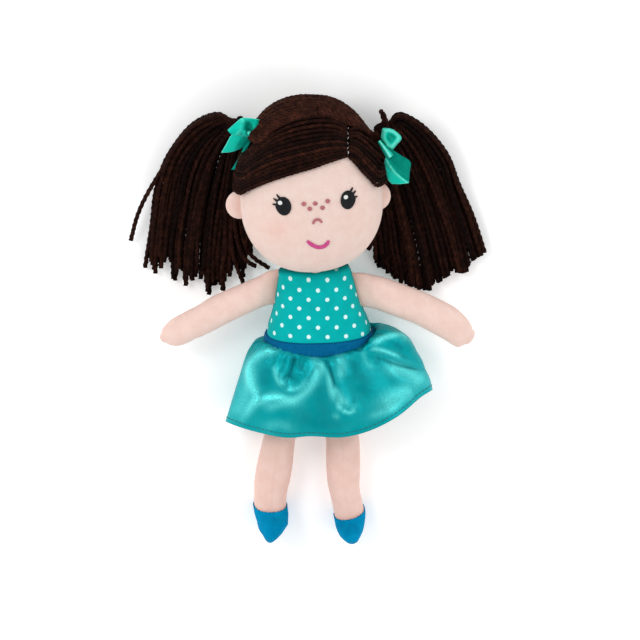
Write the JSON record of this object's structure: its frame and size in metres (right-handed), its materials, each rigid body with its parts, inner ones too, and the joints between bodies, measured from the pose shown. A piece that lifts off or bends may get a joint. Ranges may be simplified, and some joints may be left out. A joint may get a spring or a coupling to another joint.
{
  "type": "soft rag doll",
  "caption": "Soft stuffed rag doll lying on its back, with yarn hair in two side ponytails, ribbon bows, a dotted bodice and a gathered satin skirt.",
  "frame": {"origin": "under the middle of the doll's bounding box, on the surface it lies on", "axes": "+X to the doll's left, +Y towards the top of its head, +Z out of its front, away from the surface it lies on"},
  "size_m": [0.2098, 0.2952, 0.0725],
  "materials": {
    "bodice": "fine jersey knit with small pale dots",
    "waistband": "matte woven cloth",
    "skirt": "shiny satin",
    "skin": "short-pile plush",
    "filling": "loose polyester fibre",
    "hair": "twisted chunky yarn",
    "eye_thread": "satin-stitch embroidery",
    "mouth_thread": "satin-stitch embroidery",
    "freckle_thread": "satin-stitch embroidery",
    "parting_thread": "fine sewing thread",
    "hair_tie": "cloth-covered elastic",
    "ribbon": "shiny satin ribbon",
    "shoe": "short-pile plush"
  },
  "bodies": {
    "torso": {"bodice_front": "bodice", "bodice_back": "bodice", "hip_front": "skin", "hip_back": "skin", "torso_filling": "filling", "waistband": "waistband", "skirt": "skirt"},
    "neck": {"neck": "skin"},
    "neck_seam": {"neck_seam": "skin"},
    "head": {"face_panel": "skin", "head_back": "skin", "head_filling": "filling", "right_eye": "eye_thread", "left_eye": "eye_thread", "mouth": "mouth_thread", "nose": "freckle_thread", "freckle_1": "freckle_thread", "freckle_2": "freckle_thread", "freckle_3": "freckle_thread", "freckle_4": "freckle_thread", "freckle_5": "freckle_thread", "right_ear": "skin", "left_ear": "skin", "hair_front_right": "hair", "hair_front_left": "hair", "hair_back_right": "hair", "hair_back_left": "hair", "parting_thread": "parting_thread"},
    "right_ponytail": {"right_ponytail": "hair", "right_hair_tie": "hair_tie", "right_bow": "ribbon"},
    "left_ponytail": {"left_ponytail": "hair", "left_hair_tie": "hair_tie", "left_bow": "ribbon"},
    "right_arm_tab": {"right_arm_tab": "skin"},
    "right_arm": {"right_arm_front": "skin", "right_arm_back": "skin", "right_arm_filling": "filling"},
    "left_arm_tab": {"left_arm_tab": "skin"},
    "left_arm": {"left_arm_front": "skin", "left_arm_back": "skin", "left_arm_filling": "filling"},
    "hip_seam": {"hip_seam": "skin"},
    "right_leg_tab": {"right_leg_tab": "skin"},
    "right_leg": {"right_leg_inner": "skin", "right_leg_outer": "skin", "right_shoe_inner": "shoe", "right_shoe_outer": "shoe", "right_leg_filling": "filling"},
    "left_leg_tab": {"left_leg_tab": "skin"},
    "left_leg": {"left_leg_inner": "skin", "left_leg_outer": "skin", "left_shoe_inner": "shoe", "left_shoe_outer": "shoe", "left_leg_filling": "filling"}
  },
  "joints": [
    {"name": "neck_tilt", "type": "hinge", "parent": "torso", "child": "neck", "pos_m": [0.00383, 0.03324, 0.027], "axis": [0, 0, 1], "range_deg": [-15, 15]},
    {"name": "head_nod", "type": "hinge", "parent": "neck", "child": "neck_seam", "pos_m": [0.00383, 0.03324, 0.027], "axis": [1, 0, 0], "range_deg": [-10, 15]},
    {"name": "head_turn", "type": "hinge", "parent": "neck_seam", "child": "head", "pos_m": [0.00383, 0.03324, 0.027], "axis": [0, 1, 0], "range_deg": [-40, 40]},
    {"name": "right_ponytail_swing", "type": "hinge", "parent": "head", "child": "right_ponytail", "pos_m": [-0.03567, 0.12774, 0.0304], "axis": [0, 0, -1], "range_deg": [0, 55]},
    {"name": "left_ponytail_swing", "type": "hinge", "parent": "head", "child": "left_ponytail", "pos_m": [0.05033, 0.11924, 0.0304], "axis": [0, 0, 1], "range_deg": [0, 55]},
    {"name": "right_arm_swing", "type": "hinge", "parent": "torso", "child": "right_arm_tab", "pos_m": [-0.02552, 0.01524, 0.0245], "axis": [0.2316, 0.9728, 0], "range_deg": [-10, 75]},
    {"name": "right_arm_raise", "type": "hinge", "parent": "right_arm_tab", "child": "right_arm", "pos_m": [-0.03895, 0.01843, 0.0245], "axis": [0, 0, 1], "range_deg": [-70, 15]},
    {"name": "left_arm_swing", "type": "hinge", "parent": "torso", "child": "left_arm_tab", "pos_m": [0.03142, 0.01424, 0.0245], "axis": [0.2316, -0.9728, 0], "range_deg": [-10, 75]},
    {"name": "left_arm_raise", "type": "hinge", "parent": "left_arm_tab", "child": "left_arm", "pos_m": [0.04485, 0.01743, 0.0245], "axis": [0, 0, 1], "range_deg": [-15, 70]},
    {"name": "sit_fold", "type": "hinge", "parent": "torso", "child": "hip_seam", "pos_m": [-0.00417, -0.05536, 0.014], "axis": [-1, 0, 0], "range_deg": [-15, 80], "deforming": ["skirt"]},
    {"name": "right_leg_kick", "type": "hinge", "parent": "hip_seam", "child": "right_leg_tab", "pos_m": [-0.01917, -0.05946, 0.014], "axis": [-1, 0, 0], "range_deg": [-15, 20]},
    {"name": "right_leg_splay", "type": "hinge", "parent": "right_leg_tab", "child": "right_leg", "pos_m": [-0.01917, -0.06776, 0.014], "axis": [0, 0, -1], "range_deg": [-15, 15]},
    {"name": "left_leg_kick", "type": "hinge", "parent": "hip_seam", "child": "left_leg_tab", "pos_m": [0.01083, -0.05946, 0.014], "axis": [-1, 0, 0], "range_deg": [-15, 20]},
    {"name": "left_leg_splay", "type": "hinge", "parent": "left_leg_tab", "child": "left_leg", "pos_m": [0.01083, -0.06776, 0.014], "axis": [0, 0, 1], "range_deg": [-5, 20]}
  ]
}
